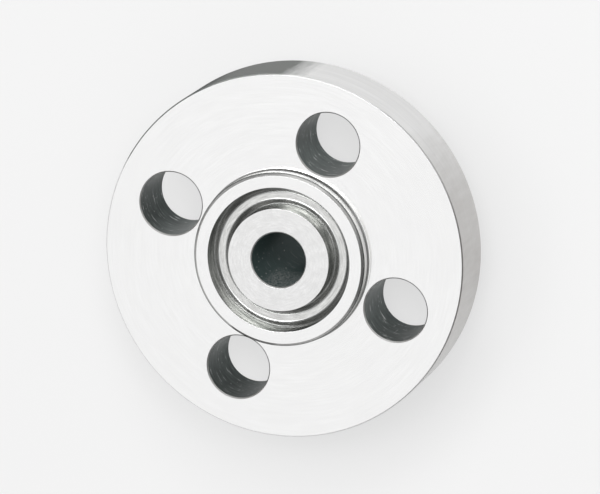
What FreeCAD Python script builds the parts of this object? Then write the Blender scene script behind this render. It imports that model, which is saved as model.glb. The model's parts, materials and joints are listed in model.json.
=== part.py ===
import FreeCAD, Part
import math
import os

# Weld neck flange with a ring joint face, one steel forging, turned and drilled.
# Millimetres. Origin at the middle of the weld end, on its root face.
# +Z runs along the pipe bore, from the weld end towards the joint face.

# Pipe that is welded on
pipe_bore = 22.5
pipe_wall = 5.6

# Weld end: root face left square, bevel measured from the plane of the end
root_face_width = 1.6
weld_bevel_angle = 37.5
weld_end_straight = 9.0

# Neck: radial growth from the weld end to its base on the disc
neck_growth = 9.15
neck_blend_radius = 12.0
neck_base_fillet = 5.0

# Disc
length_through_neck = 73.0
disc_thickness = 28.6
disc_edge_chamfer = 0.5

# Ring joint face: the groove's floor is level with the face of the disc
ring_pitch_diameter = 50.8
groove_floor_width = 3.35
groove_depth = 6.35
groove_wall_angle = 23.0
groove_corner_radius = 0.8
land_outside_groove = 5.98
raised_edge_chamfer = 1.2
raised_root_fillet = 0.8
bore_edge_chamfer = 0.5

# Bolt holes, on both sides of the X and Y axes
bolt_count = 4
bolt_hole_diameter = 26.0
bolt_hole_chamfer = 0.5
raised_face_to_hole = 2.05
hole_to_rim = 11.2
cutter_overrun = 1.0

# Radii that follow from the sizes above
bore_radius = pipe_bore / 2
weld_end_radius = bore_radius + pipe_wall
neck_base_radius = weld_end_radius + neck_growth
bolt_hole_radius = bolt_hole_diameter / 2
groove_wall_run = groove_depth * math.tan(math.radians(groove_wall_angle))
groove_centre_radius = ring_pitch_diameter / 2
groove_inner_floor = groove_centre_radius - groove_floor_width / 2
groove_outer_floor = groove_centre_radius + groove_floor_width / 2
groove_inner_edge = groove_inner_floor - groove_wall_run
groove_outer_edge = groove_outer_floor + groove_wall_run
raised_face_radius = groove_outer_edge + land_outside_groove
bolt_circle_radius = raised_face_radius + raised_face_to_hole + bolt_hole_radius
disc_radius = bolt_circle_radius + bolt_hole_radius + hole_to_rim

# Heights that follow
back_face_height = length_through_neck - disc_thickness
joint_face_height = length_through_neck + groove_depth
bevel_height = (pipe_wall - root_face_width) * math.tan(math.radians(weld_bevel_angle))


def section_point(radius, height):
    """Point of the turned section, in the half plane through +X and +Z."""
    return FreeCAD.Vector(radius, 0, height)


def section_corners():
    """Corners of the turned section, each with the radius that rounds it.

    They run from the bore at the weld end, up the outside, across the joint face
    and back down the bore.
    """
    return [
        (section_point(bore_radius, 0), 0),
        (section_point(bore_radius + root_face_width, 0), 0),
        (section_point(weld_end_radius, bevel_height), 0),
        (section_point(weld_end_radius, weld_end_straight), neck_blend_radius),
        (section_point(neck_base_radius, back_face_height), neck_base_fillet),
        (section_point(disc_radius - disc_edge_chamfer, back_face_height), 0),
        (section_point(disc_radius, back_face_height + disc_edge_chamfer), 0),
        (section_point(disc_radius, length_through_neck - disc_edge_chamfer), 0),
        (section_point(disc_radius - disc_edge_chamfer, length_through_neck), 0),
        (section_point(raised_face_radius, length_through_neck), raised_root_fillet),
        (section_point(raised_face_radius, joint_face_height - raised_edge_chamfer), 0),
        (section_point(raised_face_radius - raised_edge_chamfer, joint_face_height), 0),
        (section_point(groove_outer_edge, joint_face_height), 0),
        (section_point(groove_outer_floor, length_through_neck), groove_corner_radius),
        (section_point(groove_inner_floor, length_through_neck), groove_corner_radius),
        (section_point(groove_inner_edge, joint_face_height), 0),
        (section_point(bore_radius + bore_edge_chamfer, joint_face_height), 0),
        (section_point(bore_radius, joint_face_height - bore_edge_chamfer), 0),
    ]


def rounded_corner(before, corner, after, radius):
    """Start, middle and end of the arc that rounds a corner between two lines."""
    back = (before - corner).normalize()
    onward = (after - corner).normalize()
    half_angle = back.getAngle(onward) / 2
    reach = radius / math.tan(half_angle)
    middle_way = (back + onward).normalize()
    middle = corner + middle_way * (radius / math.sin(half_angle) - radius)
    return corner + back * reach, middle, corner + onward * reach


def section_wire(corners):
    """Closed wire of straight lines, with a tangent arc at each rounded corner."""
    edges = []
    stretches = []
    for index, (corner, radius) in enumerate(corners):
        if radius == 0:
            stretches.append((corner, corner))
            continue
        before = corners[index - 1][0]
        after = corners[(index + 1) % len(corners)][0]
        start, middle, end = rounded_corner(before, corner, after, radius)
        edges.append(Part.Arc(start, middle, end).toShape())
        stretches.append((start, end))
    for index, (start, end) in enumerate(stretches):
        next_start = stretches[(index + 1) % len(stretches)][0]
        edges.append(Part.LineSegment(end, next_start).toShape())
    return Part.Wire(Part.sortEdges(edges)[0])


def turned_body():
    """Disc, raised face, groove, neck and bore, turned in one piece about Z."""
    section = Part.Face(section_wire(section_corners()))
    return section.revolve(FreeCAD.Vector(0, 0, 0), FreeCAD.Vector(0, 0, 1), 360)


def bolt_hole_cutter():
    """One drilled hole on the Z axis, flared at 45 degrees past both faces."""
    bottom = back_face_height
    top = length_through_neck
    flare_radius = bolt_hole_radius + bolt_hole_chamfer + cutter_overrun
    outline = [
        section_point(0, bottom - cutter_overrun),
        section_point(flare_radius, bottom - cutter_overrun),
        section_point(bolt_hole_radius, bottom + bolt_hole_chamfer),
        section_point(bolt_hole_radius, top - bolt_hole_chamfer),
        section_point(flare_radius, top + cutter_overrun),
        section_point(0, top + cutter_overrun),
        section_point(0, bottom - cutter_overrun),
    ]
    section = Part.Face(Part.makePolygon(outline))
    return section.revolve(FreeCAD.Vector(0, 0, 0), FreeCAD.Vector(0, 0, 1), 360)


def bolt_holes():
    """The ring of holes, the first half a step round from +X."""
    step = 360 / bolt_count
    holes = []
    for index in range(bolt_count):
        hole = bolt_hole_cutter()
        hole.translate(FreeCAD.Vector(bolt_circle_radius, 0, 0))
        hole.rotate(FreeCAD.Vector(0, 0, 0), FreeCAD.Vector(0, 0, 1), (index + 0.5) * step)
        holes.append(hole)
    return Part.makeCompound(holes)


def ring_joint_flange():
    """The finished forging."""
    return turned_body().cut(bolt_holes())


os.makedirs("parts", exist_ok=True)
ring_joint_flange().exportStep("parts/ring_joint_flange.step")
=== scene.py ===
import json
import math
from typing import NamedTuple

import bmesh
import bpy
from bpy.props import FloatProperty, FloatVectorProperty, IntProperty, PointerProperty
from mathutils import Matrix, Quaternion, Vector


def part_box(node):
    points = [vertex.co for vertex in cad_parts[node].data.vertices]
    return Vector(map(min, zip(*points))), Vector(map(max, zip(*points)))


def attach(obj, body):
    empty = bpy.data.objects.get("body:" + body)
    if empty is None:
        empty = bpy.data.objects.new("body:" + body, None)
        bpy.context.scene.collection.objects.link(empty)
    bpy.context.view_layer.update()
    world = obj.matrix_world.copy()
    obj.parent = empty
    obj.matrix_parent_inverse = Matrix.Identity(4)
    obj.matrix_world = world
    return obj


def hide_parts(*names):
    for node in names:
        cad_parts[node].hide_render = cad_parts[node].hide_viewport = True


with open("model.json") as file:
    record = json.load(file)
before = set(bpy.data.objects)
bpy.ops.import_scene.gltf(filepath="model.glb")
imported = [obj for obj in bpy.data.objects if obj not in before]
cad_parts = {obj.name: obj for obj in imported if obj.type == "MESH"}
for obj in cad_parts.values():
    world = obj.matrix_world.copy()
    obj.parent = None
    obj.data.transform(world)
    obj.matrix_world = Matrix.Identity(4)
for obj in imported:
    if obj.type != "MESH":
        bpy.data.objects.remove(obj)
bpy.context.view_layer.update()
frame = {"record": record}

bl_info = {
    "name": "Ring joint flange",
    "version": (1, 0, 0),
    "blender": (4, 5, 0),
    "location": "3D View > Sidebar > Flange",
    "description": "A welding neck flange with a ring joint face, and the stage it is shown on",
    "category": "Add Mesh",
}

NODE = "ring_joint_flange"
CAD_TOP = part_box(NODE)[1].z
DIMS = {mount["name"]: mount["dims"] for mount in frame["record"]["mounts"]}
MM = 0.001
MICRON = 0.001 * MM
PLACE_TOLERANCE = 1.0 * MICRON
AXIS = Vector((0, 0, 1))


# Sizes and colours that a user would change


def size(name, description, millimetres):
    """A length, given in millimetres."""
    return FloatProperty(name=name, description=description, default=millimetres * MM,
                         min=0.0, precision=5, unit="LENGTH")


def angle(name, description, degrees):
    """An angle, given in degrees."""
    return FloatProperty(name=name, description=description, default=math.radians(degrees),
                         subtype="ANGLE", unit="ROTATION")


def share(name, description, value, highest=1.0):
    """A plain number from nothing to its highest value."""
    return FloatProperty(name=name, description=description, default=value,
                         min=0.0, max=highest, subtype="FACTOR")


def colour(name, description, value):
    """A colour, as light that the surface sends back."""
    return FloatVectorProperty(name=name, description=description, default=value,
                               size=3, min=0.0, max=1.0, subtype="COLOR")


def bearing(name, description, azimuth, elevation):
    """A direction from the part: a bearing in the plane and a height over it, in degrees."""
    return FloatVectorProperty(name=name, description=description, size=2, unit="ROTATION",
                               default=(math.radians(azimuth), math.radians(elevation)))


def lamp_face(name, description, width, height):
    """Width and height of a lamp's face, in millimetres."""
    return FloatVectorProperty(name=name, description=description, size=2, unit="LENGTH",
                               default=(width * MM, height * MM))


def power(name, description, watts):
    """A lamp's power."""
    return FloatProperty(name=name, description=description, default=watts, min=0.0)


class FlangeSizes(bpy.types.PropertyGroup):
    """Sizes of the forging."""

    pipe_bore: size("Pipe bore", "Bore through the flange", 2 * DIMS["pipe_bore"]["r_mm"])
    pipe_wall: size("Pipe wall", "Wall of the weld end", 5.6)
    root_face: size("Root face", "Flat left on the end of the weld bevel", 1.6)
    weld_bevel: angle("Weld bevel", "Bevel measured from the plane of the end", 37.5)
    weld_straight: size("Weld straight", "Straight length of the neck at the weld end", 9.0)
    neck_growth: size("Neck growth", "Radius that the neck gains up to the disc", 9.15)
    neck_blend: size("Neck blend", "Rounding where the taper starts", 12.0)
    neck_fillet: size("Neck fillet", "Rounding at the foot of the neck", 5.0)
    disc_face: size("Disc face height", "Weld end to the face of the disc", 73.0)
    disc_thickness: size("Disc thickness", "Thickness without the raised face", 28.6)
    disc_diameter: size("Disc diameter", "Outside of the disc", 150.0)
    disc_chamfer: size("Disc chamfer", "Broken edge of the disc", 0.5)
    joint_face: size("Joint face height", "Weld end to the joint face", CAD_TOP / MM)
    ring_pitch: size("Ring pitch diameter", "Middle of the ring groove", DIMS["ring_groove"]["pcd_mm"])
    groove_floor: size("Groove floor", "Width of the groove's floor", 3.35)
    groove_angle: angle("Groove angle", "Lean of each wall of the groove", 23.0)
    groove_corner: size("Groove corner", "Rounding at the floor of the groove", 0.8)
    land: size("Land", "Raised face outside the groove", 5.98)
    raised_chamfer: size("Raised face chamfer", "Outer edge of the raised face", 1.2)
    raised_root: size("Raised face root", "Rounding where the raised face meets the disc", 0.8)
    bore_chamfer: size("Bore chamfer", "Broken edge of the bore", 0.5)
    bolt_count: IntProperty(name="Bolts", description="Number of bolt holes",
                            default=DIMS["bolt_circle"]["count"], min=1)
    bolt_circle: size("Bolt circle", "Diameter through the bolt holes", DIMS["bolt_circle"]["pcd_mm"])
    bolt_hole: size("Bolt hole", "Diameter of a bolt hole", 2 * DIMS["bolt_circle"]["hole_r_mm"])
    bolt_chamfer: size("Bolt hole chamfer", "Broken edge of a bolt hole", 0.5)
    soft_edge: size("Soft edge", "Rounding left on every broken edge", 0.06)
    longest_strip: size("Longest strip", "Longest stretch of the section without a point", 4.0)
    turning_steps: IntProperty(name="Turning steps", description="Faces round the turned surface",
                               default=360, min=16)
    hole_steps: IntProperty(name="Hole steps", description="Faces round a bolt hole",
                            default=96, min=16)


class FlangeFinish(bpy.types.PropertyGroup):
    """Colours of the machined surfaces, each with the tone of its marks, and bearings of the rim's grime and
    painted shade, the rim's painted dark reflection, the wall's painted shade and the bore lip's painted
    light specks.
    """

    face_light: colour("Turned face", "Faces that look towards the gasket", (0.93, 0.93, 0.929))
    face_dark: colour("Turned face marks", "Marks on those faces", (0.888, 0.887, 0.885))
    hub_light: colour("Inner land", "Face between the groove and the bore", (0.89, 0.89, 0.888))
    hub_dark: colour("Inner land marks", "Marks on that face", (0.775, 0.773, 0.77))
    floor_light: colour("Groove floor", "Floor of the ring groove", (0.74, 0.74, 0.73))
    floor_dark: colour("Groove floor marks", "Marks on the groove's floor", (0.52, 0.52, 0.51))
    rim_light: colour("Rim", "Outside of the disc", (0.89, 0.89, 0.887))
    rim_dark: colour("Rim marks", "Marks on the rim", (0.735, 0.735, 0.733))
    # Rim grime: warm grey patches all round, thickened into painted shade on one part of the rim
    rim_grime_and_shade: colour("Rim grime and shade", "Warm grey patches on the rim", (0.32, 0.30, 0.28))
    # The next two colours are a painted dark reflection on one stretch of the rim
    rim_dark_reflection: colour("Rim dark reflection", "Painted dark reflection on a stretch of the rim", (0.025, 0.03, 0.028))
    rim_faint_reflection: colour("Faint rim reflection", "The painted dark reflection towards its ragged end", (0.115, 0.12, 0.115))
    wall_light: colour("Raised wall", "Wall of the raised face", (0.54, 0.54, 0.53))
    wall_dark: colour("Raised wall marks", "Marks on that wall", (0.42, 0.42, 0.41))
    # Painted shade on one side of the raised wall
    wall_painted_shade: colour("Wall shade", "Painted grey shade on one side of that wall", (0.13, 0.132, 0.13))
    groove_light: colour("Groove wall", "Leaning walls of the ring groove", (0.61, 0.61, 0.60))
    groove_dark: colour("Groove wall marks", "Marks on those walls", (0.30, 0.306, 0.299))
    # The near-black green-grey of the drilled walls and the bore is partly painted shade inside the holes
    # and the bore, partly the dull metal there
    drilled_light: colour("Drilled wall", "Walls of the bolt holes", (0.112, 0.137, 0.131))
    drilled_dark: colour("Drilled wall marks", "Marks on those walls", (0.028, 0.043, 0.040))
    bore_light: colour("Bore", "Wall of the pipe bore", (0.11, 0.16, 0.157))
    bore_dark: colour("Bore marks", "Marks on the bore", (0.075, 0.118, 0.115))
    neck_light: colour("Neck", "Neck and back of the disc", (0.74, 0.74, 0.73))
    neck_dark: colour("Neck marks", "Marks on the neck", (0.60, 0.60, 0.59))
    edge_light: colour("Broken edge", "Chamfers of the holes and the bore", (0.66, 0.66, 0.65))
    edge_dark: colour("Broken edge marks", "Marks on those chamfers", (0.46, 0.46, 0.45))
    # Painted shade: dark lines at the raised chamfer's outer edge and in the raised face's root rounding
    shade_line_dark: colour("Dark line", "Painted shade along an edge and in a corner", (0.14, 0.15, 0.145))
    # The groove corners' colours are darkened as painted shade
    shaded_corner_light: colour("Groove corner", "Roundings at the groove's floor", (0.56, 0.562, 0.558))
    shaded_corner_dark: colour("Groove corner marks", "Painted shade in those roundings", (0.40, 0.404, 0.40))
    chamfer_light: colour("Raised edge", "Chamfer of the raised face", (0.72, 0.72, 0.71))
    chamfer_dark: colour("Raised edge marks", "Marks on that chamfer", (0.52, 0.52, 0.51))
    glint: colour("Glint", "Bright rings and specks in the marks", (0.85, 0.85, 0.84))
    wall_shade_middle: angle("Wall shade middle", "Bearing of the middle of the wall's painted shade", -41.0)
    wall_shade_reach: angle("Wall shade reach", "How far the painted shade runs both ways", 26.0)
    lit_lip_side: angle("Lit lip side", "Bearing of the side of the bore's lip with painted light specks", 165.0)
    dark_reflection_middle: angle("Dark reflection middle", "Bearing of the middle of the rim's painted dark reflection", 7.0)
    dark_reflection_reach: angle("Dark reflection reach", "How far the painted dark reflection runs both ways", 34.0)
    darkest_middle: angle("Darkest reflection middle", "Bearing of the middle of its darkest part", 34.0)
    rim_shade_middle: angle("Rim shade middle", "Bearing of the part of the rim with painted shade", -116.0)
    rim_shade_reach: angle("Rim shade reach", "How far that part runs both ways", 30.0)


class StageSettings(bpy.types.PropertyGroup):
    """Floor, lamps and camera."""

    floor_size: size("Floor size", "Side of the floor", 8000.0)
    floor_colour: colour("Floor colour", "Pale floor", (0.38, 0.38, 0.38))
    floor_glow: share("Floor glow", "Share of the floor that the camera sees evenly pale", 0.68)
    floor_shine: share("Floor glow in metal", "The same share where the metal shows the floor", 0.30)
    pale: share("Pale", "How pale the background is", 0.91)
    sky_low: share("Sky at the horizon", "Strength of the soft light low down", 0.28, 4.0)
    sky_high: share("Sky overhead", "Strength of the soft light higher up", 0.955, 4.0)
    sky_full: angle("Sky full", "Height from which the soft light is full", 46.0)
    key_high: share("Key light", "Extra strength of the soft light overhead", 8.5, 10.0)
    key_from: bearing("Key light from", "Middle of that light", -5.0, 75.0)
    key_full: angle("Key full", "It is full this far from its middle", 8.0)
    key_edge: angle("Key edge", "It has faded this far from its middle", 24.0)
    halo_high: share("Halo", "Extra strength of the wide glow beside that light", 1.3, 4.0)
    halo_from: bearing("Halo from", "Middle of that glow", -78.0, 62.0)
    halo_edge: angle("Halo edge", "The glow has faded this far from its middle", 46.0)
    key_low: angle("Key low edge", "Both lights start at this height over the floor", 53.0)
    key_open: angle("Key open", "They have their full strength from this height", 64.0)
    key_shut: angle("Key shut", "They fade again from this height", 73.0)
    key_top: angle("Key top", "They are gone at this height", 84.0)
    unlit: share("Unlit side", "Light that is missing low down on one side", 0.75)
    unlit_from: bearing("Unlit side at", "Middle of that side", -130.0, 8.0)
    unlit_full: angle("Unlit full", "It is unlit this far from its middle", 18.0)
    unlit_edge: angle("Unlit edge", "It is lit again this far from its middle", 42.0)
    lamp_distance: size("Lamp distance", "Lamps to the part", 1600.0)
    floor_lamp_from: bearing("Floor lamp from", "Lamp beside the camera", -66.0, 68.0)
    floor_lamp_face: lamp_face("Floor lamp face", "Width and height of that lamp", 320.0, 320.0)
    floor_lamp_power: power("Floor lamp power", "Power of that lamp in watts", 15.0)
    shadow_lamp_from: bearing("Shadow lamp from", "Lamp above the picture's top edge", -42.0, 57.0)
    shadow_lamp_face: lamp_face("Shadow lamp face", "Width and height of that lamp", 420.0, 420.0)
    shadow_lamp_power: power("Shadow lamp power", "Power of that lamp in watts", 14.0)
    side_lamp_from: bearing("Side lamp from", "Low lamp that glints on the broken edges", -30.0, 18.0)
    side_lamp_face: lamp_face("Side lamp face", "Width and height of that lamp", 1100.0, 500.0)
    side_lamp_power: power("Side lamp power", "Power of that lamp in watts", 1.0)
    camera_distance: size("Camera distance", "Camera to the point it looks at", 2186.49)
    camera_azimuth: angle("Camera azimuth", "Turn of the camera round the part", 16.281)
    camera_elevation: angle("Camera elevation", "Height of the camera over the floor", 68.827)
    camera_roll: angle("Camera roll", "Turn of the camera about its own line of sight", 127.533)
    camera_lens: FloatProperty(name="Lens", description="Focal length in millimetres on a 36 mm sensor",
                               default=326.458, min=1.0)
    aim: FloatVectorProperty(name="Aim", description="Point in the middle of the picture",
                             default=(0.001264, -0.008412, 0.073), size=3, subtype="XYZ", unit="LENGTH")


# Modelling by operators


def deselect_all():
    """Leave object mode with nothing selected."""
    if bpy.context.object and bpy.context.object.mode != "OBJECT":
        bpy.ops.object.mode_set(mode="OBJECT")
    bpy.ops.object.select_all(action="DESELECT")


def choose(kind, wanted):
    """In edit mode, select the verts, edges or faces for which wanted() is true."""
    bpy.ops.mesh.select_mode(type=kind)
    bpy.ops.mesh.select_all(action="DESELECT")
    mesh = bmesh.from_edit_mesh(bpy.context.object.data)
    parts = {"VERT": mesh.verts, "EDGE": mesh.edges, "FACE": mesh.faces}[kind]
    for part in parts:
        if wanted(part):
            part.select_set(True)
    mesh.select_flush_mode()
    bmesh.update_edit_mesh(bpy.context.object.data)


def draw_section(name, corners):
    """Draw a closed section as a wire, one point after another."""
    deselect_all()
    bpy.ops.mesh.primitive_plane_add(size=MM, location=corners[0])
    section = bpy.context.object
    section.name = section.data.name = name
    bpy.ops.object.transform_apply(location=True, rotation=True, scale=True)
    bpy.ops.object.mode_set(mode="EDIT")
    bpy.ops.mesh.select_all(action="SELECT")
    bpy.ops.mesh.merge(type="CENTER")
    for here, there in zip(corners, corners[1:]):
        bpy.ops.mesh.extrude_vertices_move(TRANSFORM_OT_translate={"value": there - here})
    ends = (corners[0], corners[-1])
    choose("VERT", lambda vert: any((vert.co - end).length < PLACE_TOLERANCE for end in ends))
    bpy.ops.mesh.edge_face_add()
    return section


def round_corner(before, corner, after, radius, steps):
    """Round one corner of the section that is being drawn."""
    half = (before - corner).angle(after - corner) / 2
    choose("VERT", lambda vert: (vert.co - corner).length < PLACE_TOLERANCE)
    bpy.ops.mesh.bevel(offset=radius / math.tan(half), offset_type="OFFSET", segments=steps,
                       profile=0.5, affect="VERTICES", clamp_overlap=False)


def divide_long_strips(longest):
    """Put points on the straight stretches of the section."""
    mesh = bmesh.from_edit_mesh(bpy.context.object.data)
    lengths = sorted({round(edge.calc_length(), 6) for edge in mesh.edges})
    for stretch in lengths:
        cuts = int(stretch / longest)
        if cuts:
            choose("EDGE", lambda edge: abs(edge.calc_length() - stretch) < PLACE_TOLERANCE)
            bpy.ops.mesh.subdivide(number_cuts=cuts)


def turn(steps, centre=(0, 0, 0)):
    """Turn the drawn section once round an upright axis and close it."""
    bpy.ops.mesh.select_mode(type="VERT")
    bpy.ops.mesh.select_all(action="SELECT")
    bpy.ops.mesh.spin(steps=steps, angle=math.tau, center=centre, axis=AXIS)
    bpy.ops.mesh.select_all(action="SELECT")
    bpy.ops.mesh.remove_doubles(threshold=PLACE_TOLERANCE)
    bpy.ops.mesh.select_all(action="SELECT")
    bpy.ops.mesh.normals_make_consistent(inside=False)


def section_corners(sizes):
    """Corners of the turned section, from the bore at the weld end, each with its rounding."""
    bore = sizes.pipe_bore / 2
    weld = bore + sizes.pipe_wall
    neck = weld + sizes.neck_growth
    bevel_height = (sizes.pipe_wall - sizes.root_face) * math.tan(sizes.weld_bevel)
    disc = sizes.disc_diameter / 2
    back = sizes.disc_face - sizes.disc_thickness
    face = sizes.disc_face
    joint = sizes.joint_face
    lean = (joint - face) * math.tan(sizes.groove_angle)
    inner_floor = (sizes.ring_pitch - sizes.groove_floor) / 2
    outer_floor = (sizes.ring_pitch + sizes.groove_floor) / 2
    raised = outer_floor + lean + sizes.land
    soft = sizes.soft_edge
    listed = [
        (bore, 0, 0),
        (bore + sizes.root_face, 0, soft),
        (weld, bevel_height, soft),
        (weld, sizes.weld_straight, sizes.neck_blend),
        (neck, back, sizes.neck_fillet),
        (disc - sizes.disc_chamfer, back, soft),
        (disc, back + sizes.disc_chamfer, soft),
        (disc, face - sizes.disc_chamfer, soft),
        (disc - sizes.disc_chamfer, face, soft),
        (raised, face, sizes.raised_root),
        (raised, joint - sizes.raised_chamfer, soft),
        (raised - sizes.raised_chamfer, joint, soft),
        (outer_floor + lean, joint, soft),
        (outer_floor, face, sizes.groove_corner),
        (inner_floor, face, sizes.groove_corner),
        (inner_floor - lean, joint, soft),
        (bore + sizes.bore_chamfer, joint, soft),
        (bore, joint - sizes.bore_chamfer, soft),
    ]
    return [(Vector((radius, 0, height)), rounding) for radius, height, rounding in listed]


LARGEST_SOFT_EDGE = 0.5 * MM
SOFT_EDGE_STEPS = 2
FILLET_STEPS = 6


def steps_for(rounding):
    """Faces across a rounding: few on a soft edge, more on a fillet."""
    return SOFT_EDGE_STEPS if rounding < LARGEST_SOFT_EDGE else FILLET_STEPS


def turned_forging(sizes):
    """Disc, raised face, groove, neck and bore, turned in one piece."""
    listed = section_corners(sizes)
    points = [point for point, rounding in listed]
    forging = draw_section("weld_neck_flange", points)
    for index, (point, rounding) in enumerate(listed):
        if rounding:
            after = points[(index + 1) % len(points)]
            round_corner(points[index - 1], point, after, rounding, steps_for(rounding))
    divide_long_strips(sizes.longest_strip)
    turn(sizes.turning_steps)
    bpy.ops.object.mode_set(mode="OBJECT")
    return forging


def drill_bodies(sizes):
    """Plugs with the shape of the drilled holes, flared at both mouths."""
    centre = Vector((sizes.bolt_circle / 2, 0, 0))
    centre.rotate(Quaternion(AXIS, math.pi / sizes.bolt_count))
    radius = sizes.bolt_hole / 2
    overrun = MM
    low = sizes.disc_face - sizes.disc_thickness
    high = sizes.disc_face
    flare = radius + sizes.bolt_chamfer + overrun
    listed = [
        (0, low - overrun),
        (flare, low - overrun),
        (radius, low + sizes.bolt_chamfer),
        (radius, high - sizes.bolt_chamfer),
        (flare, high + overrun),
        (0, high + overrun),
    ]
    plugs = draw_section("drilled_holes", [centre + Vector((r, 0, z)) for r, z in listed])
    turn(sizes.hole_steps, centre)
    bpy.ops.mesh.select_all(action="SELECT")
    bpy.ops.mesh.spin(steps=sizes.bolt_count - 1, dupli=True, center=(0, 0, 0), axis=AXIS,
                      angle=math.tau * (sizes.bolt_count - 1) / sizes.bolt_count)
    bpy.ops.mesh.select_all(action="SELECT")
    bpy.ops.mesh.normals_make_consistent(inside=False)
    bpy.ops.object.mode_set(mode="OBJECT")
    return plugs


def apply_modifier(piece, kind, **settings):
    """Add a modifier to a piece and apply it."""
    deselect_all()
    piece.select_set(True)
    bpy.context.view_layer.objects.active = piece
    modifier = piece.modifiers.new(kind, kind)
    for name, value in settings.items():
        setattr(modifier, name, value)
    bpy.ops.object.modifier_apply(modifier=modifier.name)


# Finishes. A noise's scale counts its features in a metre


class Cut(NamedTuple):
    """A mask that is cut from a noise: the value at its edge and the steepness there."""

    middle: float
    steepness: float


class Ends(NamedTuple):
    """The two ends of a soiled stretch: how ragged and how steep they are."""

    raggedness: float
    steepness: float


WHITE = (1.0, 1.0, 1.0, 1.0)

# Takes the height out of a place
LEVEL = (1.0, 1.0, 0.0)

# Tool marks, and a shift of them by side, so that no two bolt holes look alike
BANDS_TO_A_MARK = 0.15
BANDS = Cut(0.55, 4.0)
BRIGHT_RINGS = Cut(0.66, 14.0)
HOLE_SHIFTS = {"X": 0.31, "Y": 0.53}

# Marks from handling
SCRATCH_WAYS = (0.4, 1.7, 2.6)
SCRATCH_TILT = (0.3, 0.2)
SCRATCH_LENGTH = 16.0
SCRATCH_FINENESS = 70.0
SCRATCH_DEPTH = 0.6
SCRATCHED_PLACES = Cut(0.6225, 8.0)
SPECK_SCALE = 700.0
SPECK_RADIUS = 0.22
SPECKLESS_SHARE = 0.90
CLOUDS = Cut(0.55, 5.0)
GRAIN = Cut(0.5, 1.0)

# Dark lines of painted shade, which fade out this many widths off, and the painted light specks on the
# bore's lip
LINE_FADE = 1.5
LINE_STRENGTH = 0.9
LIT_LIP_DEPTH = 30.0 * MM
LIT_LIP_RISE = 12.0 * MM
LIT_LIP_STRENGTH = 0.45
LIT_SIDE_CUT = Cut(0.75, 4.0)
LIT_SPECKS_CUT = Cut(0.5, 6.0)

# Grime, painted shade and a painted dark reflection on the rim, and painted shade on the raised wall, with
# ends torn along the axis
TORN_END = (1.0, 1.0, 0.2)
RIM_SHADE_ENDS = Ends(0.15, 2.5)
GRIME_EVERYWHERE = 0.10
GRIME_AND_SHADE_LEAST = 0.55
GRIME_AND_SHADE_MORE = 0.2
GRIME_AND_SHADE_PATCHES = Cut(0.5, 2.5)
DARK_REFLECTION_ENDS = Ends(0.05, 12.0)
DARKEST_ENDS = Ends(0.10, 9.0)
DARK_REFLECTION_MOTTLE = Cut(0.45, 3.0)
MOTTLE_STRENGTH = 0.35
DARK_REFLECTION_STRENGTH = 0.97
DARK_REFLECTION_OVER_METAL = 0.95
DARK_REFLECTION_ROUGHNESS = 0.5
DARK_REFLECTION_SHINE = 0.1
WALL_SHADE_ENDS = Ends(0.1, 4.0)


def opaque(value):
    """A colour with full alpha."""
    return (*value, 1.0)


def direction(azimuth, elevation):
    """A unit vector towards a bearing in the plane and a height over it."""
    flat = math.cos(elevation)
    return Vector((math.cos(azimuth) * flat, math.sin(azimuth) * flat, math.sin(elevation)))


def add_node(tree, kind, feeds=None, **settings):
    """Add a node, set it up, and feed its inputs with values or with other nodes' outputs."""
    made = tree.nodes.new(kind)
    for name, value in settings.items():
        setattr(made, name, value)
    for name, value in (feeds or {}).items():
        if isinstance(value, bpy.types.NodeSocket):
            tree.links.new(value, made.inputs[name])
        else:
            made.inputs[name].default_value = value
    return made


def empty_tree(owner):
    """The node tree of a new material or world, with nothing in it."""
    owner.use_nodes = True
    owner.node_tree.nodes.clear()
    return owner.node_tree


def maths(tree, operation, first, second=0.0, clamp=False):
    """A Math node's result."""
    return add_node(tree, "ShaderNodeMath", {0: first, 1: second},
                    operation=operation, use_clamp=clamp).outputs[0]


def product(tree, first, second):
    """Two numbers multiplied."""
    return maths(tree, "MULTIPLY", first, second)


def vector_maths(tree, operation, first, second=(0.0, 0.0, 0.0)):
    """A Vector Math node's result, a number for a length and for a dot product."""
    made = add_node(tree, "ShaderNodeVectorMath", {0: first, 1: second}, operation=operation)
    return made.outputs["Value" if operation in ("LENGTH", "DOT_PRODUCT") else "Vector"]


def outward(tree, place):
    """The level way from the axis to a place."""
    return vector_maths(tree, "MULTIPLY", place, LEVEL)


def nearness(tree, place, towards):
    """How near a place lies to a bearing round the axis: 1 on it, 0 a quarter turn off."""
    way = vector_maths(tree, "NORMALIZE", outward(tree, place))
    return vector_maths(tree, "DOT_PRODUCT", way, towards)


def noise(tree, place, scale, detail, roughness=0.5):
    """A grey noise over a place."""
    feeds = {"Vector": place, "Scale": scale, "Detail": detail, "Roughness": roughness}
    return add_node(tree, "ShaderNodeTexNoise", feeds).outputs["Fac"]


def spread(tree, value, cut):
    """A mask from a value: a half where the value is at the cut's middle."""
    above = maths(tree, "SUBTRACT", value, cut.middle)
    return maths(tree, "ADD", product(tree, above, cut.steepness), 0.5, clamp=True)


def blend_colours(tree, factor, first, second):
    """Two colours mixed by a factor, at the sockets that a Mix node keeps for colours."""
    feeds = {0: factor, 6: first, 7: second}
    return add_node(tree, "ShaderNodeMix", feeds, data_type="RGBA", clamp_factor=True).outputs[2]


def new_group(name, vectors, numbers, results):
    """An empty node group that takes named vectors and numbers and gives named numbers."""
    group = bpy.data.node_groups.new(name, "ShaderNodeTree")
    for labels, side, kind in ((vectors, "INPUT", "Vector"), (numbers, "INPUT", "Float"),
                               (results, "OUTPUT", "Float")):
        for label in labels:
            group.interface.new_socket(label, in_out=side, socket_type="NodeSocket" + kind)
    return group, group.nodes.new("NodeGroupInput"), group.nodes.new("NodeGroupOutput")


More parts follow.
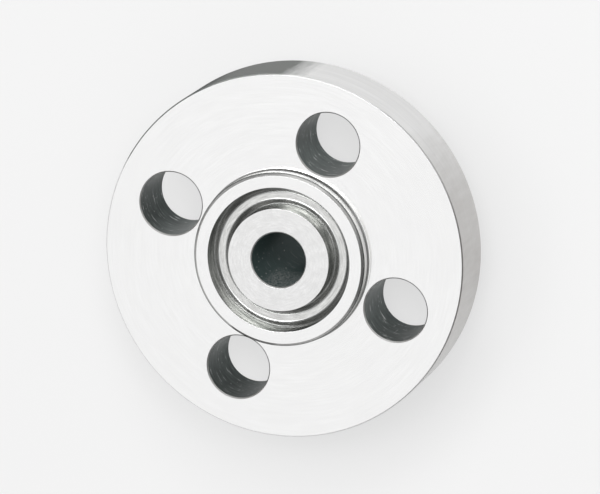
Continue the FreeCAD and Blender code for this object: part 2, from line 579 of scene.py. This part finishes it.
def tool_marks_group():
    """Streaks that a cutting tool leaves round a turned or drilled surface."""
    group, given, result = new_group("Tool marks", vectors=["Around"], numbers=["Across", "Pitch", "Breaks"],
                                     results=["Marks", "Bands"])
    way = vector_maths(group, "NORMALIZE", given.outputs["Around"])
    way = vector_maths(group, "MULTIPLY", way, given.outputs["Breaks"])
    around = add_node(group, "ShaderNodeSeparateXYZ", {0: way}).outputs
    turns = maths(group, "DIVIDE", given.outputs["Across"], given.outputs["Pitch"])
    for label, stretch, detail in (("Marks", 1.0, 3.0), ("Bands", BANDS_TO_A_MARK, 1.0)):
        feeds = {0: product(group, turns, stretch), 1: around[0], 2: around[1]}
        place = add_node(group, "ShaderNodeCombineXYZ", feeds).outputs[0]
        streaks = noise(group, place, scale=1.0, detail=detail, roughness=0.6)
        group.links.new(streaks, result.inputs[label])
    return group


def scratch_lines(group, place):
    """Fine lines that run in several ways."""
    lines = None
    for turned in SCRATCH_WAYS:
        feeds = {"Vector": place, "Rotation": (*SCRATCH_TILT, turned), "Scale": (1.0, SCRATCH_LENGTH, 1.0)}
        drawn_out = add_node(group, "ShaderNodeMapping", feeds).outputs[0]
        wave = noise(group, drawn_out, scale=60.0, detail=2.0)
        ridge = maths(group, "ABSOLUTE", maths(group, "SUBTRACT", wave, 0.5))
        beside = product(group, ridge, SCRATCH_FINENESS)
        line = maths(group, "SUBTRACT", 1.0, beside, clamp=True)
        lines = line if lines is None else maths(group, "MAXIMUM", lines, line)
    return lines


def handling_group():
    """Fine scratches, specks and cloudy patches from handling."""
    group, given, result = new_group("Handling", vectors=["Vector"], numbers=[],
                                     results=["Scratches", "Specks", "Patches", "Grain"])
    place = given.outputs["Vector"]
    scratched = spread(group, noise(group, place, scale=45.0, detail=3.0), SCRATCHED_PLACES)
    scratches = product(group, scratch_lines(group, place), scratched)
    cells = add_node(group, "ShaderNodeTexVoronoi", {"Vector": place, "Scale": SPECK_SCALE}).outputs
    dots = maths(group, "LESS_THAN", cells["Distance"], SPECK_RADIUS)
    chance = add_node(group, "ShaderNodeSeparateColor", {0: cells["Color"]}).outputs[0]
    specks = product(group, dots, maths(group, "GREATER_THAN", chance, SPECKLESS_SHARE))
    patches = noise(group, place, scale=22.0, detail=4.0)
    grain = noise(group, place, scale=1400.0, detail=2.0)
    for effect, taken in zip((scratches, specks, patches, grain), result.inputs):
        group.links.new(effect, taken)
    return group


def stretch_group():
    """A mask over a stretch of a turned surface, with ragged ends."""
    group, given, result = new_group("Soiled stretch", vectors=["Vector", "Middle"],
                                     numbers=["Nearness", "Raggedness", "Steepness"], results=["Mask"])
    near = nearness(group, given.outputs["Vector"], given.outputs["Middle"])
    drawn_out = vector_maths(group, "MULTIPLY", given.outputs["Vector"], TORN_END)
    torn = maths(group, "SUBTRACT", noise(group, drawn_out, scale=420.0, detail=3.0), 0.5)
    ragged = product(group, torn, given.outputs["Raggedness"])
    past = maths(group, "SUBTRACT", maths(group, "ADD", near, ragged), given.outputs["Nearness"])
    steep = product(group, past, given.outputs["Steepness"])
    group.links.new(maths(group, "ADD", steep, 0.5, clamp=True), result.inputs["Mask"])
    return group


class Finish(NamedTuple):
    """How a tool left a surface. Lengths are in metres.

    light is the metal and dark its marks. They follow one another by radius or by
    height, as across says, with their pitch, contrast and relief, and breaks is how
    often they start anew on the way round. bands, cloud, glints, specks and grain are
    shares of those effects, and scratched and uneven are roughness that scratches and
    marks add. hole_at centres the marks in the bolt holes, line_at places a dark line
    of painted shade, and lit_lip_from is the height at which a bore's lip begins to
    get painted light specks. tint is how bright the metal is where it is seen edge on.
    """

    light: tuple
    dark: tuple
    across: str
    pitch: float
    contrast: float
    roughness: float
    relief: float
    breaks: float = 2.0
    bands: float = 0.3
    cloud: float = 0.0
    glints: float = 0.0
    specks: float = 0.25
    hole_at: float = 0.0
    line_at: float = 0.0
    line_width: float = 0.0
    lit_lip_from: float = 0.0
    scratched: float = 0.08
    uneven: float = 0.12
    metallic: float = 1.0
    grain: float = 0.12
    tint: float = 1.0


def lay_of_marks(tree, place, finish):
    """What counts the marks of a surface, and the way that they run round."""
    way = outward(tree, place)
    split = add_node(tree, "ShaderNodeSeparateXYZ", {0: place}).outputs
    height = split["Z"]
    if finish.hole_at:
        folded = vector_maths(tree, "ABSOLUTE", way)
        way = vector_maths(tree, "SUBTRACT", folded, (finish.hole_at, finish.hole_at, 0.0))
        for axis, shift in HOLE_SHIFTS.items():
            side = maths(tree, "GREATER_THAN", split[axis], 0.0)
            height = maths(tree, "ADD", height, product(tree, side, shift))
    if finish.across == "radius":
        return vector_maths(tree, "LENGTH", way), way
    return height, way


def draw_line(tree, place, finish, under, line):
    """A dark line of painted shade round the axis at one radius."""
    radius = vector_maths(tree, "LENGTH", outward(tree, place))
    off = maths(tree, "ABSOLUTE", maths(tree, "SUBTRACT", radius, finish.line_at))
    widths_off = maths(tree, "DIVIDE", off, finish.line_width)
    near = maths(tree, "SUBTRACT", LINE_FADE, widths_off, clamp=True)
    return blend_colours(tree, product(tree, near, LINE_STRENGTH), under, line)


def lit_lip_mask(tree, place, finish, grain, side):
    """Painted light specks that grow denser above one height and on one side, where a bore's lip is lit."""
    height = add_node(tree, "ShaderNodeSeparateXYZ", {0: place}).outputs["Z"]
    above = maths(tree, "SUBTRACT", height, finish.lit_lip_from)
    rising = maths(tree, "DIVIDE", above, LIT_LIP_RISE, clamp=True)
    near = nearness(tree, place, direction(side, 0.0))
    lit_near_side = product(tree, spread(tree, near, LIT_SIDE_CUT), rising)
    amount = product(tree, lit_near_side, LIT_LIP_STRENGTH)
    return product(tree, spread(tree, grain, LIT_SPECKS_CUT), amount)


def marked_colour(tree, place, finish, marks, handling, colours):
    """The metal's colour under its marks, bands, clouds, bright rings, grain and specks, with painted light
    specks on a bore's lip and dark lines of painted shade.
    """
    light, dark, bright = opaque(finish.light), opaque(finish.dark), opaque(colours.glint)
    between_marks = spread(tree, marks["Marks"], Cut(0.5, finish.contrast))
    colour_now = blend_colours(tree, between_marks, dark, light)
    for value, cut, amount, over in (
            (marks["Bands"], BANDS, finish.bands, dark),
            (handling["Patches"], CLOUDS, finish.cloud, dark),
            (marks["Marks"], BRIGHT_RINGS, finish.glints, bright),
            (handling["Grain"], GRAIN, finish.grain, dark)):
        if amount:
            mask = product(tree, spread(tree, value, cut), amount)
            colour_now = blend_colours(tree, mask, colour_now, over)
    speckled = product(tree, handling["Specks"], finish.specks)
    colour_now = blend_colours(tree, speckled, colour_now, bright if finish.glints else dark)
    # Painted light specks on the bore's lip
    if finish.lit_lip_from:
        lip_light = lit_lip_mask(tree, place, finish, handling["Grain"], colours.lit_lip_side)
        colour_now = blend_colours(tree, lip_light, colour_now, bright)
    # A dark line of painted shade
    if finish.line_at:
        colour_now = draw_line(tree, place, finish, colour_now, opaque(colours.shade_line_dark))
    return colour_now


def marked_roughness(tree, finish, marks, scratches):
    """A roughness that comes and goes with the marks and the scratches."""
    uneven = product(tree, marks["Marks"], finish.uneven)
    rough = maths(tree, "ADD", uneven, finish.roughness - finish.uneven / 2)
    return maths(tree, "ADD", rough, product(tree, scratches, finish.scratched))


def machined_finish(name, finish, groups, colours):
    """A bare steel surface with the marks that its tool left."""
    material = bpy.data.materials.new(name)
    tree = empty_tree(material)
    place = add_node(tree, "ShaderNodeTexCoord").outputs["Object"]
    across, around = lay_of_marks(tree, place, finish)
    feeds = {"Across": across, "Around": around, "Pitch": finish.pitch, "Breaks": finish.breaks}
    marks = add_node(tree, "ShaderNodeGroup", feeds, node_tree=groups["marks"]).outputs
    handling = add_node(tree, "ShaderNodeGroup", {"Vector": place}, name="Handling",
                        node_tree=groups["handling"]).outputs
    scratches = handling["Scratches"]
    height = maths(tree, "SUBTRACT", marks["Marks"], product(tree, scratches, SCRATCH_DEPTH))
    bump = add_node(tree, "ShaderNodeBump", {"Height": height, "Distance": finish.relief, "Strength": 1.0})
    shader = add_node(tree, "ShaderNodeBsdfPrincipled", {
        "Base Color": marked_colour(tree, place, finish, marks, handling, colours),
        "Metallic": finish.metallic,
        "Roughness": marked_roughness(tree, finish, marks, scratches),
        "Specular Tint": opaque((finish.tint,) * 3),
        "Normal": bump.outputs[0]}, name="Steel")
    add_node(tree, "ShaderNodeOutputMaterial", {"Surface": shader.outputs[0]})
    return material


def clean_surface(material):
    """What grime and painted shade are added to: a finish's tree, its shader, the place on the part and the
    colour.
    """
    tree = material.node_tree
    shader = tree.nodes["Steel"]
    place = tree.nodes["Handling"].inputs["Vector"].links[0].from_socket
    clean = shader.inputs["Base Color"].links[0].from_socket
    return tree, shader, place, clean


def stretch_mask(tree, place, group, middle, reach, ends):
    """Mask over a stretch that reaches both ways from a bearing."""
    feeds = {"Vector": place, "Middle": direction(middle, 0.0), "Nearness": math.cos(reach),
             "Raggedness": ends.raggedness, "Steepness": ends.steepness}
    return add_node(tree, "ShaderNodeGroup", feeds, node_tree=group).outputs["Mask"]


def grime_and_shade_over(tree, place, clean, patches, group, colours):
    """Warm grey grime patches over the rim's clean colour, thickened into painted shade on one part."""
    shaded_most = stretch_mask(tree, place, group, colours.rim_shade_middle, colours.rim_shade_reach, RIM_SHADE_ENDS)
    amount = maths(tree, "ADD", shaded_most, GRIME_EVERYWHERE)
    patchy = product(tree, spread(tree, patches, GRIME_AND_SHADE_PATCHES), GRIME_AND_SHADE_MORE)
    uneven = maths(tree, "ADD", patchy, GRIME_AND_SHADE_LEAST)
    return blend_colours(tree, product(tree, uneven, amount), clean, opaque(colours.rim_grime_and_shade))


def dark_reflection_tone(tree, place, grain, group, colours):
    """The painted dark reflection's colour, darkest on its middle part."""
    darkest_part = stretch_mask(tree, place, group, colours.darkest_middle, colours.dark_reflection_reach, DARKEST_ENDS)
    mottle = product(tree, spread(tree, grain, DARK_REFLECTION_MOTTLE), MOTTLE_STRENGTH)
    dark_share = maths(tree, "SUBTRACT", darkest_part, mottle, clamp=True)
    return blend_colours(tree, dark_share, opaque(colours.rim_faint_reflection), opaque(colours.rim_dark_reflection))


def soil_and_shade_rim(material, group, colours):
    """Warm grey grime with painted shade on one part of the rim, and a painted dark reflection on one
    stretch of it.
    """
    tree, shader, place, clean = clean_surface(material)
    handling = tree.nodes["Handling"].outputs
    grimy_and_shaded = grime_and_shade_over(tree, place, clean, handling["Patches"], group, colours)
    # The dark stretch is a painted dark reflection, with less metal, more roughness and less shine
    dark_reflection = stretch_mask(tree, place, group, colours.dark_reflection_middle, colours.dark_reflection_reach, DARK_REFLECTION_ENDS)
    tone = dark_reflection_tone(tree, place, handling["Grain"], group, colours)
    darkened = blend_colours(tree, product(tree, dark_reflection, DARK_REFLECTION_STRENGTH), grimy_and_shaded, tone)
    tree.links.new(darkened, shader.inputs["Base Color"])
    dark_share = product(tree, dark_reflection, DARK_REFLECTION_OVER_METAL)
    tree.links.new(maths(tree, "SUBTRACT", 1.0, dark_share), shader.inputs["Metallic"])
    rough = shader.inputs["Roughness"].links[0].from_socket
    rougher = maths(tree, "ADD", rough, product(tree, dark_share, DARK_REFLECTION_ROUGHNESS))
    tree.links.new(rougher, shader.inputs["Roughness"])
    shader.inputs["Specular IOR Level"].default_value = DARK_REFLECTION_SHINE


def shade_wall(material, group, colours):
    """Painted grey shade on one side of the raised face's wall."""
    tree, shader, place, clean = clean_surface(material)
    shaded_part = stretch_mask(tree, place, group, colours.wall_shade_middle, colours.wall_shade_reach, WALL_SHADE_ENDS)
    darkened = blend_colours(tree, shaded_part, clean, opaque(colours.wall_painted_shade))
    tree.links.new(darkened, shader.inputs["Base Color"])


# Which face has which finish. A face's slope is the height of its normal, 1 where it lies level


UPRIGHT = 0.1
LEANING = 0.35
NEARLY_LEVEL = 0.93
LEVEL_FLOOR = 0.995
STEEPER_THAN_GROOVE = 1.1
WHOLE_EDGE = 1.01
EDGE_START = 0.02
BORE_EDGE_REACH = 2.0


def groove_outer_rim(sizes):
    """Radius where the groove's outer wall meets the joint face."""
    lean = (sizes.joint_face - sizes.disc_face) * math.tan(sizes.groove_angle)
    return (sizes.ring_pitch + sizes.groove_floor) / 2 + lean


def hole_offset(sizes):
    """How far the axis of each of the four bolt holes lies from the X axis and from the Y axis."""
    return sizes.bolt_circle / 2 * math.sqrt(0.5)


def zone_of(face, sizes):
    """Which finish a face of the forging has, by its place and its slope."""
    centre, slope = face.calc_center_median(), face.normal.z
    radius = math.hypot(centre.x, centre.y)
    from_hole = math.hypot(abs(centre.x) - hole_offset(sizes), abs(centre.y) - hole_offset(sizes))
    face_height = sizes.disc_face
    back = face_height - sizes.disc_thickness
    groove_rim = groove_outer_rim(sizes)
    hole, bore = sizes.bolt_hole / 2, sizes.pipe_bore / 2
    if radius > sizes.disc_diameter / 2 - WHOLE_EDGE * sizes.disc_chamfer:
        return "rim" if abs(slope) < UPRIGHT else "rim_edge"
    if from_hole < hole + WHOLE_EDGE * sizes.bolt_chamfer and back < centre.z < face_height:
        return "edge" if from_hole > hole + EDGE_START * sizes.bolt_chamfer else "drilled"
    if radius < bore + EDGE_START * sizes.bore_chamfer:
        return "bore"
    if slope > NEARLY_LEVEL and centre.z > face_height - MM:
        if radius > groove_rim:
            return "face"
        if centre.z > face_height + MM:
            return "hub"
        return "groove_floor" if slope > LEVEL_FLOOR else "groove_corner"
    if centre.z < face_height:
        return "neck"
    if radius < groove_rim + sizes.soft_edge:
        if centre.z < face_height + MM and slope > STEEPER_THAN_GROOVE * math.sin(sizes.groove_angle):
            return "groove_corner"
        return "groove" if radius > bore + BORE_EDGE_REACH * sizes.bore_chamfer else "edge"
    return "wall" if slope < LEANING or centre.z < face_height + sizes.raised_root else "raised_edge"


def finishes(sizes, colours):
    """The finish of every zone."""
    raised = groove_outer_rim(sizes) + sizes.land
    polished = {"across": "radius", "pitch": 0.8 * MM, "contrast": 2.2, "roughness": 0.14,
                "relief": 0.8 * MICRON, "breaks": 5.0, "specks": 0.5, "scratched": 0.01, "uneven": 0.03}
    return {
        "face": Finish(colours.face_light, colours.face_dark, bands=0.5, cloud=0.35, **polished),
        "hub": Finish(colours.hub_light, colours.hub_dark, bands=0.7, cloud=0.4, **polished),
        "rim": Finish(colours.rim_light, colours.rim_dark, "height", pitch=1.2 * MM, contrast=2.0,
                      roughness=0.32, relief=4.0 * MICRON, cloud=0.3, specks=0.5),
        "rim_edge": Finish(colours.rim_light, colours.rim_dark, "height", pitch=0.5 * MM, contrast=2.0,
                           roughness=0.32, relief=2.0 * MICRON),
        # The dark lines on the wall and the raised edge are painted shade
        "wall": Finish(colours.wall_light, colours.wall_dark, "height", pitch=0.8 * MM, contrast=2.0,
                       roughness=0.40, relief=3.0 * MICRON, line_at=raised + 0.6 * MM,
                       line_width=0.2 * MM),
        "raised_edge": Finish(colours.chamfer_light, colours.chamfer_dark, "height", pitch=0.4 * MM,
                              contrast=2.5, roughness=0.26, relief=2.0 * MICRON, line_at=raised,
                              line_width=0.32 * MM),
        "groove": Finish(colours.groove_light, colours.groove_dark, "height", pitch=1.0 * MM,
                         contrast=4.5, roughness=0.10, relief=6.0 * MICRON, breaks=2.5, bands=0.5,
                         glints=0.4, uneven=0.05, grain=0.5, tint=0.4),
        # Groove corners darkened as painted shade
        "groove_corner": Finish(colours.shaded_corner_light, colours.shaded_corner_dark, "radius", pitch=0.3 * MM,
                                contrast=3.0, roughness=0.20, relief=4.0 * MICRON, breaks=4.0),
        "groove_floor": Finish(colours.floor_light, colours.floor_dark, "radius", pitch=0.5 * MM,
                               contrast=2.5, roughness=0.22, relief=2.0 * MICRON, breaks=6.0),
        # Drilled walls and bore: partly painted shade; the bore's lip gets painted light specks
        "drilled": Finish(colours.drilled_light, colours.drilled_dark, "height", pitch=1.3 * MM,
                          contrast=3.5, roughness=0.32, relief=8.0 * MICRON, bands=0.4, glints=0.8,
                          specks=0.4, hole_at=hole_offset(sizes), grain=0.35),
        "bore": Finish(colours.bore_light, colours.bore_dark, "height", pitch=0.8 * MM, contrast=2.5,
                       roughness=0.45, relief=5.0 * MICRON, glints=0.3, specks=1.0,
                       lit_lip_from=sizes.joint_face - LIT_LIP_DEPTH, metallic=0.75),
        "neck": Finish(colours.neck_light, colours.neck_dark, "height", pitch=0.8 * MM, contrast=2.0,
                       roughness=0.36, relief=5.0 * MICRON, cloud=0.4),
        "edge": Finish(colours.edge_light, colours.edge_dark, "height", pitch=0.4 * MM, contrast=2.5,
                       roughness=0.42, relief=2.0 * MICRON),
    }


def paint_forging(forging, sizes, colours):
    """Give every zone of the forging its finish."""
    groups = {"marks": tool_marks_group(), "handling": handling_group()}
    stretch = stretch_group()
    listed = finishes(sizes, colours)
    for zone, finish in listed.items():
        material = machined_finish(zone.replace("_", " ").capitalize(), finish, groups, colours)
        # The rim gets grime, painted shade and a painted dark reflection; the wall gets painted shade
        if zone in ("rim", "rim_edge"):
            soil_and_shade_rim(material, stretch, colours)
        if zone == "wall":
            shade_wall(material, stretch, colours)
        forging.data.materials.append(material)
    bpy.ops.object.mode_set(mode="EDIT")
    zones = [zone_of(face, sizes) for face in bmesh.from_edit_mesh(forging.data).faces]
    for index, zone in enumerate(listed):
        choose("FACE", lambda face: zones[face.index] == zone)
        forging.active_material_index = index
        bpy.ops.object.material_slot_assign()
    bpy.ops.object.mode_set(mode="OBJECT")


# Operators


SMOOTH_ANGLE = math.radians(30)


class FLANGE_OT_forging(bpy.types.Operator):
    """Turn the forging, drill its bolt holes and give it its machined finish."""

    bl_idname = "flange.forging"
    bl_label = "Make the forging"

    def execute(self, context):
        sizes = context.scene.flange_sizes
        forging = turned_forging(sizes)
        plugs = drill_bodies(sizes)
        apply_modifier(forging, "BOOLEAN", operation="DIFFERENCE", solver="EXACT", object=plugs)
        bpy.data.objects.remove(plugs)
        paint_forging(forging, sizes, context.scene.flange_finish)
        bpy.ops.object.shade_smooth_by_angle(angle=SMOOTH_ANGLE)
        apply_modifier(forging, "WEIGHTED_NORMAL", keep_sharp=True, weight=100)
        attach(forging, "root")
        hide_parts(NODE)
        return {"FINISHED"}


class FLANGE_OT_stage(bpy.types.Operator):
    """Lay the pale floor, set the lamps and stand the camera."""

    bl_idname = "flange.stage"
    bl_label = "Make the stage"

    def execute(self, context):
        stage = context.scene.flange_stage
        lay_floor(stage)
        light_sky(stage)
        hang_lamps(stage)
        stand_camera(stage)
        context.scene.view_settings.view_transform = "Standard"
        return {"FINISHED"}


def lay_floor(stage):
    """A plain pale floor that keeps the part's shadow."""
    deselect_all()
    bpy.ops.mesh.primitive_plane_add(size=stage.floor_size, location=(0, 0, 0))
    floor = bpy.context.object
    floor.name = "floor"
    material = bpy.data.materials.new("Pale floor")
    tree = empty_tree(material)
    lit = add_node(tree, "ShaderNodeBsdfDiffuse", {"Color": opaque(stage.floor_colour)})
    glow = add_node(tree, "ShaderNodeEmission", {"Color": opaque((stage.pale,) * 3), "Strength": 1.0})
    path = add_node(tree, "ShaderNodeLightPath").outputs
    seen = product(tree, path["Is Camera Ray"], stage.floor_glow)
    mirrored = product(tree, path["Is Glossy Ray"], stage.floor_shine)
    even = maths(tree, "ADD", seen, mirrored)
    mixed = add_node(tree, "ShaderNodeMixShader", {0: even, 1: lit.outputs[0], 2: glow.outputs[0]})
    add_node(tree, "ShaderNodeOutputMaterial", {"Surface": mixed.outputs[0]})
    floor.data.materials.append(material)


def rise(tree, value, low, high, bottom, top):
    """A smooth rise from one strength to another."""
    return add_node(tree, "ShaderNodeMapRange", {
        "Value": value, "From Min": low, "From Max": high, "To Min": bottom, "To Max": top},
        interpolation_type="SMOOTHSTEP").outputs[0]


def lobe(tree, way, middle, full, edge, outside, inside):
    """A strength that changes smoothly round one direction of the sky."""
    near = vector_maths(tree, "DOT_PRODUCT", way, direction(*middle))
    return rise(tree, near, math.cos(edge), math.cos(full), outside, inside)


def light_sky(stage):
    """Soft light, dim at the horizon and dimmer on one side, with a key light and a glow high up."""
    world = bpy.data.worlds.new("Soft light")
    bpy.context.scene.world = world
    tree = empty_tree(world)
    way = add_node(tree, "ShaderNodeTexCoord").outputs["Generated"]
    height = add_node(tree, "ShaderNodeSeparateXYZ", {0: way}).outputs["Z"]
    tent = rise(tree, height, 0.0, math.sin(stage.sky_full), stage.sky_low, stage.sky_high)
    key = lobe(tree, way, stage.key_from, stage.key_full, stage.key_edge, 0.0, stage.key_high)
    halo = lobe(tree, way, stage.halo_from, 0.0, stage.halo_edge, 0.0, stage.halo_high)
    lit = lobe(tree, way, stage.unlit_from, stage.unlit_full, stage.unlit_edge, 1.0, 1.0 - stage.unlit)
    above = rise(tree, height, math.sin(stage.key_low), math.sin(stage.key_open), 0.0, 1.0)
    below = rise(tree, height, math.sin(stage.key_shut), math.sin(stage.key_top), 1.0, 0.0)
    belt = product(tree, above, below)
    high_up = product(tree, maths(tree, "ADD", key, halo), belt)
    strength = maths(tree, "ADD", product(tree, tent, lit), high_up)
    path = add_node(tree, "ShaderNodeLightPath").outputs
    even = add_node(tree, "ShaderNodeMix", {0: path["Is Camera Ray"], 2: strength, 3: stage.pale},
                    data_type="FLOAT").outputs[0]
    background = add_node(tree, "ShaderNodeBackground", {"Color": WHITE, "Strength": even})
    add_node(tree, "ShaderNodeOutputWorld", {"Surface": background.outputs[0]})


def hang_lamp(stage, name):
    """A lamp that faces the part and that the camera doesn't see, set up by its own settings."""
    way = direction(*getattr(stage, name + "_from"))
    bpy.ops.object.light_add(type="AREA", location=way * stage.lamp_distance,
                             rotation=way.to_track_quat("Z", "Y").to_euler())
    lamp = bpy.context.object
    lamp.name = name
    lamp.data.shape = "RECTANGLE"
    lamp.data.size, lamp.data.size_y = getattr(stage, name + "_face")
    lamp.data.energy = getattr(stage, name + "_power")
    lamp.visible_camera = False
    return lamp


def hang_lamps(stage):
    """Two lamps that only light the floor round the part, and a low one that only glints in the metal."""
    for name in ("floor_lamp", "shadow_lamp"):
        hang_lamp(stage, name).visible_glossy = False
    hang_lamp(stage, "side_lamp").visible_diffuse = False


def stand_camera(stage):
    """Look at the part from the picture's side, with the camera turned on its line of sight."""
    around, up = stage.camera_azimuth, stage.camera_elevation
    back = Vector((math.sin(around) * math.cos(up), -math.cos(around) * math.cos(up), math.sin(up)))
    upright = (-back).to_track_quat("-Z", "Y")
    turned = Quaternion(-back, stage.camera_roll) @ upright
    bpy.ops.object.camera_add(location=Vector(stage.aim) + back * stage.camera_distance,
                              rotation=turned.to_euler())
    camera = bpy.context.object
    camera.data.lens = stage.camera_lens
    bpy.context.scene.camera = camera


OPERATORS = (FLANGE_OT_forging, FLANGE_OT_stage)


class FLANGE_PT_panel(bpy.types.Panel):
    """Sidebar panel with the operators, and the settings of sizes, finishes and stage."""

    bl_idname = "FLANGE_PT_panel"
    bl_label = "Ring joint flange"
    bl_space_type = "VIEW_3D"
    bl_region_type = "UI"
    bl_category = "Flange"

    def draw(self, context):
        layout = self.layout
        for operator in OPERATORS:
            layout.operator(operator.bl_idname)
        for group in (context.scene.flange_sizes, context.scene.flange_finish, context.scene.flange_stage):
            box = layout.box()
            for name in group.__annotations__:
                box.prop(group, name)


CLASSES = (FlangeSizes, FlangeFinish, StageSettings, *OPERATORS, FLANGE_PT_panel)


def register():
    """Make the add-on's classes known."""
    for known in CLASSES:
        bpy.utils.register_class(known)
    bpy.types.Scene.flange_sizes = PointerProperty(type=FlangeSizes)
    bpy.types.Scene.flange_finish = PointerProperty(type=FlangeFinish)
    bpy.types.Scene.flange_stage = PointerProperty(type=StageSettings)


def unregister():
    """Take the add-on's classes out again."""
    del bpy.types.Scene.flange_stage
    del bpy.types.Scene.flange_finish
    del bpy.types.Scene.flange_sizes
    for known in reversed(CLASSES):
        bpy.utils.unregister_class(known)


def main():
    """Make the flange and its stage."""
    register()
    bpy.ops.flange.forging()
    bpy.ops.flange.stage()


if __name__ == "__main__":
    main()
